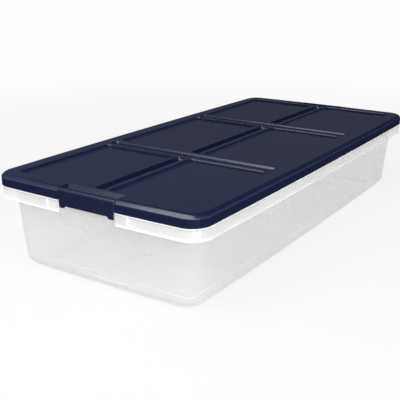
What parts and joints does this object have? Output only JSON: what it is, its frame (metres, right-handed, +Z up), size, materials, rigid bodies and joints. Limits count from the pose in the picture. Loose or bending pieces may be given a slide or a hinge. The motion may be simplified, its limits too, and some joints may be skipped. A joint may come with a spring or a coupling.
{
  "type": "under-bed storage box",
  "caption": "Long, low clear plastic storage box with an opaque navy lid that lifts off, sunken pads on the lid, a turned-down rim and a wide hinged latch at each end.",
  "frame": {"origin": "middle of the underside, on the surface that the box stands on", "axes": "+X along the box towards the rear latch, +Y across it, +Z up; the front latch is at the -X end"},
  "size_m": [0.866, 0.404, 0.16],
  "materials": {
    "clear_tub": "milky translucent polypropylene, satin, seen through",
    "navy_lid": "opaque navy polypropylene, fine moulded texture, satin",
    "navy_latch": "opaque navy polypropylene, smooth satin"
  },
  "bodies": {
    "tub": {"tub": "clear_tub"},
    "lid": {"lid": "navy_lid"},
    "front_latch": {"front_latch": "navy_latch"},
    "rear_latch": {"rear_latch": "navy_latch"}
  },
  "joints": [
    {"name": "lid_lift", "type": "slide", "parent": "tub", "child": "lid", "axis": [0, 0, 1], "range_m": [0, 0.15]},
    {"name": "front_latch_hinge", "type": "hinge", "parent": "lid", "child": "front_latch", "pos_m": [-0.4215, 0, 0.152], "axis": [0, 1, 0], "range_deg": [0, 105]},
    {"name": "rear_latch_hinge", "type": "hinge", "parent": "lid", "child": "rear_latch", "pos_m": [0.4215, 0, 0.152], "axis": [0, -1, 0], "range_deg": [0, 105]}
  ]
}
